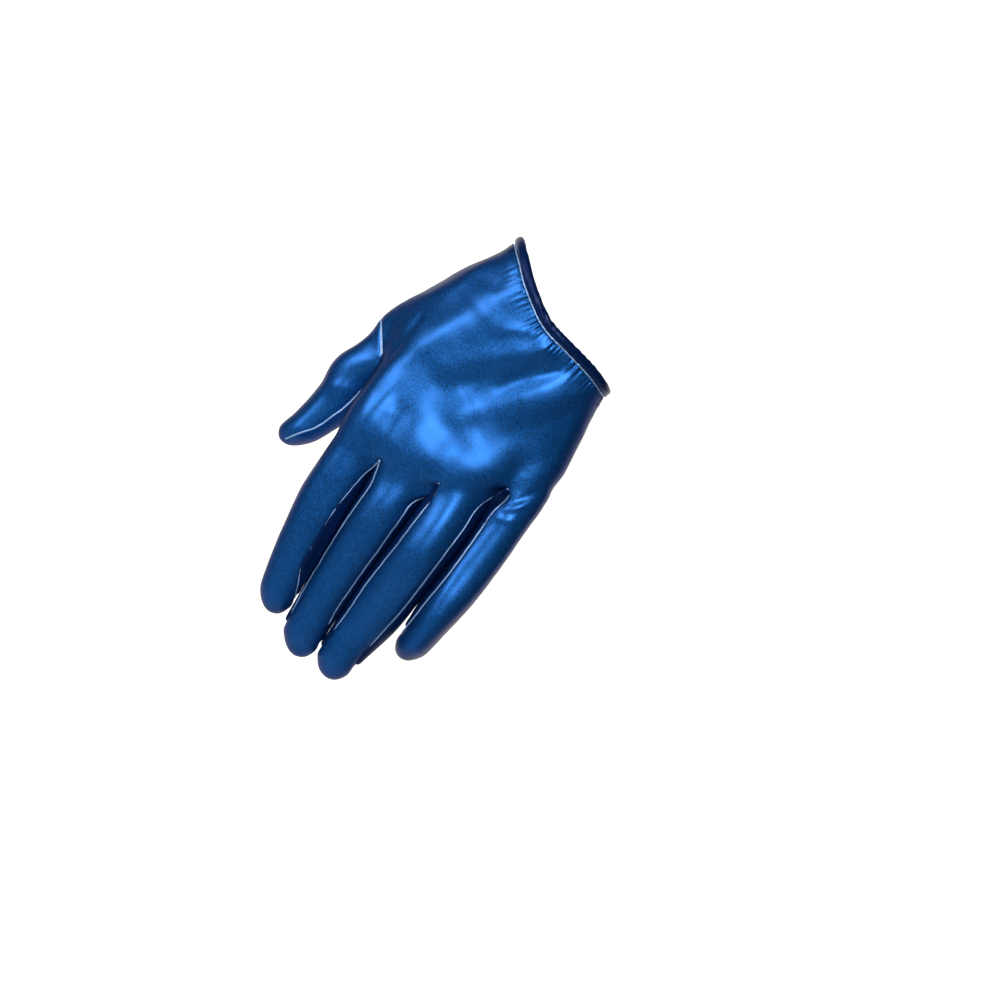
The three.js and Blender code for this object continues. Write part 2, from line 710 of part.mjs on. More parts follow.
// The back and the palm in one, folded along the index finger and open round the thumb.
function makeTrank() {
  const sheet = new Sheet();
  const levels = new Map();
  const { thumbBase, indexPalm } = STRETCHES;
  const besideThumb = (column) => column > thumbBase.first && column < indexPalm.first;
  const put = (key, cloth) => {
    sheet.add(key, cloth.point, cloth.normal);
    levels.set(key, cloth.level);
  };
  for (let column = 0; column < COLUMN_COUNT; column += 1) {
    for (let row = 0; row <= RIM_TO_WEB_ROWS; row += 1) {
      put(bodyKey(column, row), moundPoint(column, row));
    }
    for (let row = 1; row <= WEB_TO_KNUCKLE_ROWS; row += 1) {
      put(bodyKey(column, row + RIM_TO_WEB_ROWS), knucklePoint(column, row));
    }
    if (besideThumb(column)) put(`crease ${column}`, clothPoint(handDistance, creaseOf(column)));
  }
  for (let column = 0; column < COLUMN_COUNT; column += 1) {
    for (let row = 0; row < LAST_BODY_ROW; row += 1) {
      const onCrease = (at) => row === RIM_TO_WEB_ROWS && besideThumb(at);
      const upper = (at) => (onCrease(at) ? `crease ${at}` : bodyKey(at, row));
      sheet.quad(upper(column), upper(column + 1), bodyKey(column + 1, row + 1), bodyKey(column, row + 1));
    }
  }
  for (const finger of Object.keys(FINGERS)) addFinger(sheet, finger, levels);
  return sheet.solid();
}

// The crease point that belongs to a column beside the thumb, round the side that faces the hand.
function creaseOf(column) {
  const [backTurn, palmTurn] = moundTurns(1);
  return creasePoint(mix(backTurn, palmTurn - 2 * Math.PI, shareOf(column, STRETCHES.thumbBase)));
}

// The row of a fourchette across the crotch: its two edges, and between them the palm's end.
function crotchRow(crotch, crotchZ) {
  const down = new THREE.Vector3(0, 0, -1);
  const edge = (degrees) => {
    const spoke = { x: crotch.x, y: 0, turn: radians(degrees) };
    return clothPoint(handDistance, leave(handDistance, rowPath(spoke, () => crotchZ - SEAM_GAP)));
  };
  const [back, palm] = [edge(90), edge(270)];
  const row = [back];
  for (let k = 1; k < FOURCHETTE_COLUMNS; k += 1) {
    const start = back.point.clone().lerp(palm.point, k / FOURCHETTE_COLUMNS);
    const point = leave(palmDistance, (s) => start.clone().addScaledVector(down, s));
    row.push({ point, normal: normalAt(palmDistance, point) });
  }
  return [...row, palm];
}

// A row of a fourchette round the side of one finger, at its share of the way to the tip. The
// two sides of the strip press together halfway between the fingers, until near the tips.
function fourchetteRow({ left, right }, side, share, starts) {
  const finger = side === 'right' ? left : right;
  const sign = side === 'right' ? 1 : -1;
  const pressed = Math.min(1, (1 - share) / FOURCHETTE_OPENS);
  return starts.map((start, k) => {
    const level = mix(start, FINGERS[finger].tip.z, share);
    const seam = Math.max(0, seamDegrees(finger, side, level) - SEAM_HALF_DEGREES);
    const turn = seam * (1 - (2 * k) / FOURCHETTE_COLUMNS);
    const place = fingerPoint(finger, level, side === 'right' ? turn : 180 - turn);
    const halfway = (FINGERS[left].sections(level).right + FINGERS[right].sections(level).left) / 2;
    const room = sign * (halfway - place.point.x) - FOURCHETTE_APART / 2;
    const taken = room < 0 ? Math.ceil(FOURCHETTE_PRESS[k]) : FOURCHETTE_PRESS[k] * pressed;
    place.point.x += sign * room * taken;
    return place;
  });
}

// The rows of a fourchette on one finger, from near its tip up to the levels where it starts.
function fourchetteSide(crotch, side, starts) {
  const { tip } = FINGERS[side === 'right' ? crotch.left : crotch.right];
  const rows = [];
  for (let row = FINGER_ROWS; row >= 1; row -= 1) {
    rows.push(fourchetteRow(crotch, side, fingerShare(row, starts[0] - tip.z), starts));
  }
  const [closed, last] = rows;
  const end = last.map(({ point, normal }, k) => ({
    point: point.clone().lerp(closed[k].point, FOURCHETTE_END),
    normal: normal.clone().lerp(closed[k].normal, FOURCHETTE_END).normalize(),
  }));
  return [end, ...rows.slice(1)];
}

// The strip of cloth between two fingers, down the side of one and up the side of the other.
function makeFourchette(crotch) {
  const crotchZ = KNUCKLE_LINE(crotch.x).z;
  const middle = crotchRow(crotch, crotchZ);
  const starts = middle.map(({ point }, k) => (k % FOURCHETTE_COLUMNS ? point.z : crotchZ));
  const rows = [
    ...fourchetteSide(crotch, 'right', starts),
    middle,
    ...fourchetteSide(crotch, 'left', starts).reverse(),
  ];
  const sheet = new Sheet();
  rows.forEach((row, r) => row.forEach(({ point, normal }, k) => sheet.add(`${r} ${k}`, point, normal)));
  for (let r = 0; r < rows.length - 1; r += 1) {
    for (let k = 0; k < FOURCHETTE_COLUMNS; k += 1) {
      sheet.quad(`${r} ${k}`, `${r} ${k + 1}`, `${r + 1} ${k + 1}`, `${r + 1} ${k}`);
    }
  }
  return sheet.solid();
}

// The thumb starts on the mound's seam row and on the crease, and runs down to its own tip.
function thumbStart() {
  const { thumbBase } = STRETCHES;
  const start = [];
  for (let k = 0; k <= thumbBase.columns; k += 1) {
    start.push(moundPoint(thumbBase.first + k, RIM_TO_WEB_ROWS));
  }
  for (let k = thumbBase.columns - 1; k > 0; k -= 1) {
    const point = creaseOf(thumbBase.first + k);
    start.push({ point, normal: normalAt(thumbDistance, point) });
  }
  return start.map(({ point, normal }) => ({
    point: point.clone().addScaledVector(THUMB_DIRECTION, SEAM_GAP),
    normal,
  }));
}

// The degrees round the thumb's oval at which each start point lies, always rising.
function startTurns(start) {
  const turns = [];
  for (const { point } of start) {
    const section = THUMB.sections(point.z);
    const a = (section.right - section.left) / 2;
    const across = (point.x - (section.right + section.left) / 2) / a;
    let turn = THREE.MathUtils.radToDeg(Math.atan2((section.middle - point.y) / section.depth, across));
    while (turn < turns.at(-1)) turn += 360;
    turns.push(turn);
  }
  return turns;
}

function makeThumb() {
  const sheet = new Sheet();
  const start = thumbStart();
  const { sections: shape, tip } = THUMB;
  const turns = startTurns(start);
  const key = (k, row) => {
    const at = k % start.length;
    return row === THUMB_ROWS ? `thumb ring ${at}` : `${at} ${row}`;
  };
  const even = start.map((_, k) => turns[0] + (360 * k) / start.length);
  start.forEach(({ point, normal }, k) => {
    sheet.add(key(k, 0), point, normal);
    for (let row = 1; row <= THUMB_ROWS; row += 1) {
      const share = row / THUMB_ROWS;
      const z = mix(point.z, tip.z, share);
      const spoke = ovalSpoke(shape(z), mix(turns[k], even[k], share));
      const found = leave(thumbDistance, rowPath(spoke, () => z));
      sheet.add(key(k, row), found, normalAt(thumbDistance, found));
    }
  });
  for (let k = 0; k < start.length; k += 1) {
    for (let row = 0; row < THUMB_ROWS; row += 1) {
      sheet.quad(key(k, row), key(k + 1, row), key(k + 1, row + 1), key(k, row + 1));
    }
  }
  addTip(sheet, 'thumb', even, thumbDistance, shape, tip);
  return sheet.solid();
}

// The rim of the trank as a closed run of points, each with the cloth's normal.
function rimPoints() {
  const distance = moundDistance(0);
  return Array.from({ length: COLUMN_COUNT }, (_, column) => {
    const path = rowPath(moundSpoke(column, 0), (x) => RIM_LINE(x).z);
    const point = leave(distance, path);
    return { point, normal: normalAt(distance, point) };
  });
}

// The binding's oval section at one rim point, from the rim's direction there.
function bindingSection({ point, normal }, along) {
  const up = new THREE.Vector3().crossVectors(normal, along).normalize();
  if (up.z < 0) up.negate();
  const out = new THREE.Vector3().crossVectors(along, up).normalize();
  if (out.dot(normal) < 0) out.negate();
  const middle = point.clone()
    .addScaledVector(normal, BINDING_STANDS_OUT - WALL / 2)
    .addScaledVector(up, SEAM_GAP + BINDING_WIDTH / 2);
  return Array.from({ length: BINDING_SIDES }, (_, k) => {
    const turn = (2 * Math.PI * k) / BINDING_SIDES;
    return middle.clone()
      .addScaledVector(up, (Math.cos(turn) * BINDING_WIDTH) / 2)
      .addScaledVector(out, (Math.sin(turn) * BINDING_THICKNESS) / 2);
  });
}

// The rolled binding: an oval section carried round the rim, standing on its edge.
function makeBinding() {
  const rim = rimPoints();
  const count = rim.length;
  const points = [];
  const triangles = [];
  rim.forEach((place, i) => {
    const [before, after] = [rim[(i + count - 1) % count], rim[(i + 1) % count]];
    points.push(...bindingSection(place, after.point.clone().sub(before.point).normalize()));
    const [a, b] = [i * BINDING_SIDES, ((i + 1) % count) * BINDING_SIDES];
    for (let k = 0; k < BINDING_SIDES; k += 1) {
      const next = (k + 1) % BINDING_SIDES;
      triangles.push([a + k, b + k, b + next], [a + k, b + next, a + next]);
    }
  });
  return solidOf(points, triangles);
}

const cloth = new THREE.MeshStandardMaterial(CLOTH);
const shadedCloth = new THREE.MeshStandardMaterial(SHADED_CLOTH);
const group = new THREE.Group();

function addPiece(name, geometry, material) {
  const mesh = new THREE.Mesh(geometry, material);
  mesh.name = name;
  group.add(mesh);
}

addPiece('trank', makeTrank(), cloth);
for (const crotch of CROTCHES) addPiece(crotch.name, makeFourchette(crotch), shadedCloth);
addPiece('thumb', makeThumb(), cloth);
addPiece('wrist_binding', makeBinding(), shadedCloth);

export default group;
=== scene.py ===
import math

import bmesh
import bpy
import numpy as np
from mathutils import Matrix, Vector
from mathutils.bvhtree import BVHTree
from mathutils.kdtree import KDTree


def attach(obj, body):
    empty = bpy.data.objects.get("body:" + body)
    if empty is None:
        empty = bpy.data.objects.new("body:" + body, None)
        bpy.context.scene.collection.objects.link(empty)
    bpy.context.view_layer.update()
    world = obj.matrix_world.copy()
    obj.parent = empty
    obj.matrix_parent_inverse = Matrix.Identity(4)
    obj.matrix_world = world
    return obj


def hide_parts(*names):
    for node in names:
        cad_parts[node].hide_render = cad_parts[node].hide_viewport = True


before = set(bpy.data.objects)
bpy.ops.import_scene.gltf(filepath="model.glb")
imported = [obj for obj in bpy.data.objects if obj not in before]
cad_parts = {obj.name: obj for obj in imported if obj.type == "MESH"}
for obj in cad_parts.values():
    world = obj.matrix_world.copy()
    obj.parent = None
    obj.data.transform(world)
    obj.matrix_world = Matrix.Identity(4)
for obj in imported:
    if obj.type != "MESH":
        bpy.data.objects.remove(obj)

bl_info = {
    "name": "Dance Glove",
    "version": (1, 0, 0),
    "blender": (4, 5, 0),
    "location": "View3D > Sidebar > Glove",
    "description": "Finishes a short satin dance glove from its plain shell",
    "category": "Object",
}

MM = 0.001

# Camera: it looks along +Y at the glove, rolled so that the fingers point down to the left.
VIEW_X_MM = 17.2
VIEW_Z_MM = -72.0
VIEW_WIDTH_MM = 375.0
VIEW_ROLL_DEG = 32.0
LENS_MM = 100.0
SENSOR_MM = 36.0

# Stage, in metres: a floor that curves up into a back wall.
FLOOR_Z = -1.2
STAGE_FRONT = -2.2
STAGE_BACK = 1.3
STAGE_CURVE = 0.7
STAGE_HEIGHT = 2.2
STAGE_HALF_WIDTH = 3.2
STAGE_STEPS = 14

# Lights, in metres and watts. Those that aren't aimed at the glove light the back wall.
LIGHT_COLUMNS = ("name", "x", "y", "z", "width", "height", "watts", "at_glove")
LIGHTS = (
    ("key softbox", -0.02, -1.3, 0.3, 0.4, 0.42, 10, True),
    ("side softbox", -1.0, -0.85, 0.2, 0.6, 0.5, 8, True),
    ("back wall left", -0.9, 0.3, 0.0, 0.9, 0.9, 20, False),
    ("back wall right", 0.9, 0.3, 0.0, 0.9, 0.9, 20, False),
)
ROOM_STRENGTH = 0.04

# Cloth: how a shell from the frame is cut into its outer sheet and smoothed, in metres and degrees.
WELD = 0.00001
RIM_GAP = 0.0005
SHARP_DEG = 75.0
FLAT_DEG = 35.0
QUAD_DEG = 75.0
SMOOTH_LEVELS = 2
THUMB_SMOOTH_LEVELS = 3
CORRECTIONS = 3

# The trank's faces are split once more in front of one depth and above one height, in millimetres.
FINE_Y = 4.0
FINE_Z = -84.0

# The strips between the fingers with their CAD nodes. Each swells a little to close its seams, and
# its lower end is drawn on over a short reach, in millimetres.
STRIPS = (
    ("strip_index_middle", "fourchette_index_middle"),
    ("strip_middle_ring", "fourchette_middle_ring"),
    ("strip_ring_little", "fourchette_ring_little"),
)
STRIP_SWELL = 0.2
STRIP_END_REACH = 14.0
STRIP_END_MOVE = (-0.3, 0.6, -2.6)

# Folds, in millimetres: a ridge (or a valley, under zero) from one place to the next in the
# glove's level view, as wide at its ends as the two widths say. The last two are on the thumb.
FOLD_COLUMNS = ("x1", "z1", "x2", "z2", "width1", "width2", "height")
FOLDS = (
    (1.5, -17, -14, -46, 2.4, 5.0, 0.8),
    (23, -22, -3, -54, 2.4, 5.5, 0.8),
    (-4, -13, -17, -19, 1.8, 3.4, 0.6),
    (12, -18, -11, -46, 2.6, 4.5, -0.6),
    (-8, -15, -26, -42, 3.0, 5.0, -0.4),
    (-31, 6, -20, -2, 3.0, 3.5, 0.6),
    (-36, -12, -18, -18, 3.5, 4.0, 0.6),
    (-27, -6, -38, -6, 3.0, 4.0, -0.6),
    (-34, -66, -31, -82, 6.0, 4.0, -0.7),
    (-6, -73, -7, -79, 3.5, 2.5, -0.3),
    (18, -56, 16.5, -65, 4.5, 2.6, -0.8),
    (-44, -28, -47, -62, 0.9, 1.1, -0.9),
    (21, -74, 28, -66, 1.2, 2.4, 0.5),
    (20, -78, 27, -76, 1.1, 2.0, 0.4),
    (22, -71, 29, -60, 1.2, 2.4, -0.5),
    (-62, -70, -53, -67, 3.2, 3.2, 0.8),
    (-63, -94, -58, -90, 3.0, 3.5, 0.6),
)

# A fold rises and sinks along its length as half a wave does between these two shares of it, and
# it fades as the cloth turns away from the back.
FOLD_PART = (0.18, 0.95)
FOLD_POWER = 0.7
FACING_POWER = 1.5

# How high worn cloth is uneven, in its slow waves and its quick ones, in millimetres.
UNEVEN_SLOW = 0.12
UNEVEN_QUICK = 0.04

# Relief of the hand inside, in millimetres: how far the back stands out at each height along the
# index, middle, ring and little fingers. It fades out over the sides, so the palm keeps its form.
RELIEF_X = (-40, -18, 3, 22)
RELIEF = (
    (20, 2.8, 2.9, 2.2, 0.9),
    (-10, 3.8, 3.9, 3.0, 1.2),
    (-20, 3.3, 3.2, 2.4, 1.0),
    (-34, 1.8, 1.3, 0.9, 0.4),
    (-44, 0.7, 0.1, 0, 0),
    (-50, 1.0, 0.4, 0.3, 0.2),
    (-58, 2.4, 1.7, 1.6, 1.3),
    (-66, 4.0, 3.2, 3.1, 2.7),
    (-74, 4.4, 4.2, 4.2, 3.1),
    (-82, 3.6, 4.5, 5.2, 3.2),
    (-92, 2.5, 4.7, 6.7, 3.7),
    (-104, 1.4, 4.3, 7.5, 4.8),
    (-112, 0.7, 3.3, 6.7, 5.8),
    (-122, 0.2, 1.5, 4.0, 7.0),
    (-132, 0, 0.5, 1.8, 7.6),
    (-142, 0, 0, 0.4, 7.0),
    (-155, 0, 0, 0, 4.5),
)

# The table is smoothed over the heights, in millimetres: how softly, how far the smoothing looks
# each way, and how far it runs on past the table's ends. The relief fades out between two depths.
RELIEF_SMOOTH = 4.0
RELIEF_KERNEL = 12
RELIEF_MARGIN = 20
RELIEF_FULL_Y = -5.0
RELIEF_NONE_Y = 5.0

# The line below the knuckles where the fingers part, as places along it, and how far from it
# the satin is evened out, in millimetres. Nothing moves nearer to a seam than PARTING_CLEAR.
PARTING_LINE = ((-48, -83), (-28.7, -83.4), (-5.3, -79.3), (17.2, -67.4), (31, -60))
PARTING_REACH_ABOVE = 12.0
PARTING_REACH_BELOW = 7.0
PARTING_CLEAR = 2.6
SOFTEN_TIMES = 60

# The pucker in the CAD beside the thumb's hole, which is evened out too: its middle and reach.
THUMB_PUCKER = (-48.4, 22.4, -46.5)
PUCKER_REACH = 8.0

# The rolled edge and the gathers beside each kind of seam, in millimetres. The gathers fall off
# from the seam with a power, and end at a multiple of their reach.
SEAM_COLUMNS = ("roll", "gather", "reach", "spacing")
SEAM_KINDS = {
    "rim": (0.45, 0.5, 3.4, 2.1),
    "slit": (0.35, 0.14, 1.6, 2.4),
    "thumb": (0.35, 0.16, 1.8, 2.8),
}
SEAM_STEP = 0.3
ROLL_REACH = 0.45
GATHER_FALL = 1.3
GATHER_END = 3.5

# Gathers aren't even: they shift along the seam and change in height. Both are shares of a
# gather, with how fast they go on in radians per millimetre.
GATHER_SHIFT = 0.35
GATHER_SHIFT_RATE = 0.37
GATHER_CHANGE = 0.45
GATHER_CHANGE_RATE = 0.61
THUMB_SEED = 5

# The welt that draws a seam's edge, in millimetres, and the fewest points that a run may have.
WELT_RADIUS = 0.36
WELT_SIDES = 8
WELT_STEP = 0.6
WELT_SMOOTHINGS = 2
LEAST_POINTS = 8

# The binding's ripple: its height in millimetres, how many waves go round, how they slant in
# radians per millimetre of height, and how they shift and change in height on their way round.
RIPPLE_HEIGHT = 0.16
RIPPLE_COUNT = 61
RIPPLE_SLANT = 2.2
RIPPLE_SHIFT = 1.4
RIPPLE_SHIFT_COUNT = 9
RIPPLE_CHANGE = 0.4
RIPPLE_CHANGE_COUNT = 7

# The thumb's seam, in millimetres, as places in the glove's level view from the tip up. They are
# found on the cloth by looking back from RAY_START_Y, in metres, which is in front of the glove.
THUMB_SEAM = (
    (-64.2, -95.4), (-62, -92.5), (-60, -90), (-57, -86.5), (-55, -83),
    (-53.5, -79), (-51.7, -75), (-50.3, -70), (-49.3, -65), (-48.2, -60.5),
)
RAY_START_Y = -0.1

# The satin's pattern: the sizes of its cloudy places, grain and yarns in millimetres, how far the
# yarns slant, how steeply it turns to the darker blue painted as shade at its edges, how the
# grain's noise between two values makes it lighter and darker, and how the clouds and the grain
# change its roughness.
CLOUD_SIZE = 9.0
GRAIN_SIZE = 0.5
YARN_SIZE = 3.6
YARN_SLANT_DEG = 38.0
STEEP_BLEND = 0.45
GRAIN_RANGE = (0.3, 0.7)
GRAIN_VALUE = (0.6, 1.4)
GRAIN_ROUGHNESS = 0.45
CLOUD_ROUGHNESS = (-0.055, 0.045)

# The seam edges' twist and the wrong side's nap, in millimetres.
TWIST_SIZE = 0.9
NAP_SIZE = 0.8

# A colour mix node has several sockets of one name, so its colours are known by number.
MIX_FIRST = 6
MIX_SECOND = 7
MIX_RESULT = 2


def linear(code):
    """A linear colour with alpha from an sRGB hex code."""
    parts = [int(code[i:i + 2], 16) / 255 for i in (1, 3, 5)]
    return [p / 12.92 if p <= 0.04045 else ((p + 0.055) / 1.055) ** 2.4 for p in parts] + [1.0]


def rows(names, table):
    """A table's rows as dictionaries."""
    return [dict(zip(names, row)) for row in table]


class GloveSizes(bpy.types.PropertyGroup):
    wall: bpy.props.FloatProperty(
        name="Cloth wall", description="Thickness of the satin", default=1.1 * MM, unit="LENGTH")
    satin: bpy.props.FloatVectorProperty(
        name="Satin", description="Colour of the satin", subtype="COLOR", size=4,
        default=linear("#155fac"), min=0, max=1)
    # Painted shade: the satin's darker blue at its edges, and the colour of its shaded copy.
    painted_shade: bpy.props.FloatVectorProperty(
        name="Painted satin shade", description="Colour of the satin seen steeply", subtype="COLOR", size=4,
        default=linear("#001e50"), min=0, max=1)
    wrong_side: bpy.props.FloatVectorProperty(
        name="Wrong side", description="Colour of the satin's dull inner side", subtype="COLOR",
        size=4, default=linear("#062a63"), min=0, max=1)
    # Painted highlight: the pale blue of the seam edges stands in for the light that they catch.
    seam_highlight: bpy.props.FloatVectorProperty(
        name="Seam edge", description="Colour of the bright seam edges", subtype="COLOR", size=4,
        default=linear("#9cc4f5"), min=0, max=1)


# Materials

def fill(tree, node, inputs):
    """Gives a node's inputs fixed values, or other nodes' outputs to follow. An input is given by
    name, or by number where several have one name."""
    for key, value in inputs.items():
        if isinstance(value, bpy.types.NodeSocket):
            tree.links.new(value, node.inputs[key])
        else:
            node.inputs[key].default_value = value


def add_node(tree, kind, inputs, **settings):
    """A shader node with its settings and inputs."""
    node = tree.nodes.new(kind)
    for key, value in settings.items():
        setattr(node, key, value)
    fill(tree, node, inputs)
    return node


def new_material(name):
    """A material with its nodes and its shader."""
    material = bpy.data.materials.new(name)
    material.use_nodes = True
    tree = material.node_tree
    return material, tree, tree.nodes["Principled BSDF"]


def object_place(tree):
    """The place in the piece's own coordinates, so that a pattern stays on its cloth."""
    return add_node(tree, "ShaderNodeTexCoord", {}).outputs["Object"]


def noise(tree, place, size, detail=2.0):
    """Noise whose grains are about as large as the size in millimetres."""
    inputs = {"Vector": place, "Scale": 1 / (size * MM), "Detail": detail}
    return add_node(tree, "ShaderNodeTexNoise", inputs).outputs["Fac"]


def spread(tree, value, low, high, start=0.0, end=1.0):
    """A value that goes from low to high while another goes from its start to its end."""
    inputs = {"Value": value, "From Min": start, "From Max": end, "To Min": low, "To Max": high}
    return add_node(tree, "ShaderNodeMapRange", inputs).outputs["Result"]


def shaded(tree, colour, value):
    """A colour made lighter and darker by a value."""
    inputs = {"Color": colour, "Value": value}
    return add_node(tree, "ShaderNodeHueSaturation", inputs).outputs["Color"]


def bumps(tree, height, strength, depth, **below):
    """Bumps of a depth in millimetres, on top of the Normal of those below, if any."""
    inputs = {"Height": height, "Strength": strength, "Distance": depth * MM, **below}
    return add_node(tree, "ShaderNodeBump", inputs).outputs["Normal"]


def satin_colour(tree, speck, face, painted_shade):
    """One blue seen straight and another, darker, painted as shade where the cloth is seen
    steeply; lighter and darker from grain to grain.
    """
    steep = add_node(tree, "ShaderNodeLayerWeight", {"Blend": STEEP_BLEND}).outputs["Facing"]
    inputs = {"Factor": steep, MIX_FIRST: face, MIX_SECOND: painted_shade}
    blue = add_node(tree, "ShaderNodeMix", inputs, data_type="RGBA").outputs[MIX_RESULT]
    return shaded(tree, blue, spread(tree, speck, *GRAIN_VALUE, *GRAIN_RANGE))


def satin_roughness(tree, place, speck, roughness):
    """A roughness that drifts in clouds and jumps from grain to grain."""
    cloud = noise(tree, place, CLOUD_SIZE, detail=3.0)
    middle = roughness - GRAIN_ROUGHNESS / 2
    low, high = CLOUD_ROUGHNESS
    clouded = spread(tree, cloud, middle + low, middle + high)
    inputs = {0: speck, 1: GRAIN_ROUGHNESS, 2: clouded}
    return add_node(tree, "ShaderNodeMath", inputs, operation="MULTIPLY_ADD").outputs["Value"]


def satin_bumps(tree, place, speck):
    """Slanting yarns under a fine grain."""
    slant = {"Vector": place, "Rotation": (0.0, math.radians(YARN_SLANT_DEG), 0.0)}
    turned = add_node(tree, "ShaderNodeMapping", slant).outputs["Vector"]
    inputs = {
        "Vector": turned, "Scale": 1 / (YARN_SIZE * MM), "Distortion": 1.4, "Detail": 2.0,
        "Detail Scale": 1.5}
    yarns = add_node(tree, "ShaderNodeTexWave", inputs).outputs["Fac"]
    woven = bumps(tree, yarns, strength=0.03, depth=0.1)
    return bumps(tree, speck, strength=0.4, depth=0.08, Normal=woven)


def stretch_satin(name, face, painted_shade, roughness, metallic):
    """Polyester stretch satin, as dance and evening gloves are made of. It is woven with long
    floats of bright filament yarn over elastic ones, and pressed between hot rollers. Light comes
    off its packed yarns almost as off metal: broad bright highlights over a dark blue, dark edges
    where it turns away, and a fine grain. Those dark edges are partly painted shade: its colour
    turns to a darker blue where the cloth is seen steeply."""
    material, tree, shader = new_material(name)
    place = object_place(tree)
    speck = noise(tree, place, GRAIN_SIZE)
    fill(tree, shader, {
        # Painted shade: the base colour darkens where the cloth is seen steeply.
        "Base Color": satin_colour(tree, speck, face, painted_shade),
        "Roughness": satin_roughness(tree, place, speck, roughness),
        "Normal": satin_bumps(tree, place, speck),
        "Metallic": metallic,
        "IOR": 1.35,
        "Specular Tint": linear("#123c78"),
        "Coat Weight": 0.26,
        "Coat Roughness": 0.36,
    })
    return material


def seam_edge(name, seam_highlight):
    """Polyester seam edge: the satin's folded edge, pulled tight by its stitches. Its pale colour
    is a painted highlight, so that it shows as a thin bright line, twisted like sewing yarn."""
    material, tree, shader = new_material(name)
    twist = noise(tree, object_place(tree), TWIST_SIZE)
    fill(tree, shader, {
        # Painted highlight: the pale colour makes the edge show as a bright line.
        "Base Color": shaded(tree, seam_highlight, spread(tree, twist, low=0.6, high=1.3)),
        "Normal": bumps(tree, twist, strength=0.3, depth=0.1),
        "Roughness": 0.35,
        "Metallic": 0.35,
    })
    return material


def matt_wrong_side(name, colour):
    """Satin's wrong side: the inner side of the same cloth, where the floats are short and the
    rollers pressed less. It looks dull, soft and dark."""
    material, tree, shader = new_material(name)
    nap = noise(tree, object_place(tree), NAP_SIZE)
    fill(tree, shader, {
        "Base Color": shaded(tree, colour, spread(tree, nap, low=0.8, high=1.15)),
        "Roughness": 0.8,
        "Sheen Weight": 0.3,
    })
    return material


def backdrop_paper():
    """Background paper: plain uncoated paper off a wide roll, so pale and matt."""
    material, tree, shader = new_material("pale paper backdrop")
    fill(tree, shader, {"Base Color": linear("#f7f6f3"), "Roughness": 0.9})
    return material


def glove_material(name):
    """One of the glove's materials, made the first time that it is asked for."""
    if name in bpy.data.materials:
        return bpy.data.materials[name]
    sizes = bpy.context.scene.glove
    if name == "royal blue stretch satin":
        return stretch_satin(name, sizes.satin, sizes.painted_shade, roughness=0.39, metallic=0.65)
    # The same satin between the fingers and rolled round the wrist, painted darker as shade: its
    # face takes the painted shade colour, and its steep edges the wrong side's blue.
    if name == "satin in the seams":
        return stretch_satin(name, sizes.painted_shade, sizes.wrong_side, roughness=0.45, metallic=0.3)
    if name == "polyester seam edge":
        return seam_edge(name, sizes.seam_highlight)
    if name == "satin wrong side":
        return matt_wrong_side(name, sizes.wrong_side)
    raise ValueError(f"no material called {name}")


# Cloth from the frame's shells

def make_active(piece):
    """Selects one piece alone, as Blender's operators want it."""
    bpy.ops.object.select_all(action="DESELECT")
    piece.select_set(True)
    bpy.context.view_layer.objects.active = piece


def apply_all(piece):
    """Applies a piece's modifiers."""
    make_active(piece)
    for modifier in list(piece.modifiers):
        bpy.ops.object.modifier_apply(modifier=modifier.name)


def shade_smooth(mesh):
    mesh.polygons.foreach_set("use_smooth", [True] * len(mesh.polygons))


def places(mesh):
    """The mesh's vertex places, in millimetres."""
    flat = np.empty(len(mesh.vertices) * 3)
    mesh.vertices.foreach_get("co", flat)
    return flat.reshape(-1, 3) / MM


def put_places(mesh, points):
    """Moves the mesh's vertices to places in millimetres."""
    mesh.vertices.foreach_set("co", (points * MM).ravel())
    mesh.update()


def normals(mesh):
    """The mesh's vertex normals."""
    flat = np.empty(len(mesh.vertices) * 3)
    mesh.vertices.foreach_get("normal", flat)
    return flat.reshape(-1, 3)


def welded(node):
    """A welded working copy of a CAD node as a bmesh."""
    bm = bmesh.new()
    bm.from_mesh(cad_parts[node].data)
    bmesh.ops.remove_doubles(bm, verts=bm.verts, dist=WELD)
    return bm


def as_quads(bm):
    """Joins pairs of triangles to quads, which subdivide more evenly."""
    bmesh.ops.join_triangles(
        bm, faces=bm.faces, angle_face_threshold=math.radians(FLAT_DEG),
        angle_shape_threshold=math.radians(QUAD_DEG))
    return bm


def as_object(bm, name):
    """A new object in the scene with the working mesh, which is freed."""
    mesh = bpy.data.meshes.new(name)
    bm.to_mesh(mesh)
    bm.free()
    piece = bpy.data.objects.new(name, mesh)
    bpy.context.scene.collection.objects.link(piece)
    return piece


def gap(tree, place):
    """The distance from a place to the nearest face of a search tree."""
    *_, distance = tree.find_nearest(place)
    return distance


def rim_faces(bm, node):
    """The cloth's cut edges: the faces whose corners all lie against a neighbouring piece."""
    neighbours = []
    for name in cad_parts:
        if name != node:
            other = welded(name)
            neighbours.append(BVHTree.FromBMesh(other))
            other.free()
    touching = {
        vert for vert in bm.verts if min(gap(tree, vert.co) for tree in neighbours) < RIM_GAP}
    return {face for face in bm.faces if touching.issuperset(face.verts)}


def patches(bm, node):
    """A node's faces without its rims, in patches that no sharp edge crosses, largest first."""
    sharp = math.radians(SHARP_DEG)
    left = set(bm.faces) - rim_faces(bm, node)
    found = []
    while left:
        patch, waiting = set(), [left.pop()]
        while waiting:
            face = waiting.pop()
            patch.add(face)
            for edge in face.edges:
                if len(edge.link_faces) != 2 or edge.calc_face_angle() > sharp:
                    continue
                for other in edge.link_faces:
                    if other in left:
                        left.remove(other)
                        waiting.append(other)
        found.append(patch)
    return sorted(found, key=lambda patch: -sum(face.calc_area() for face in patch))


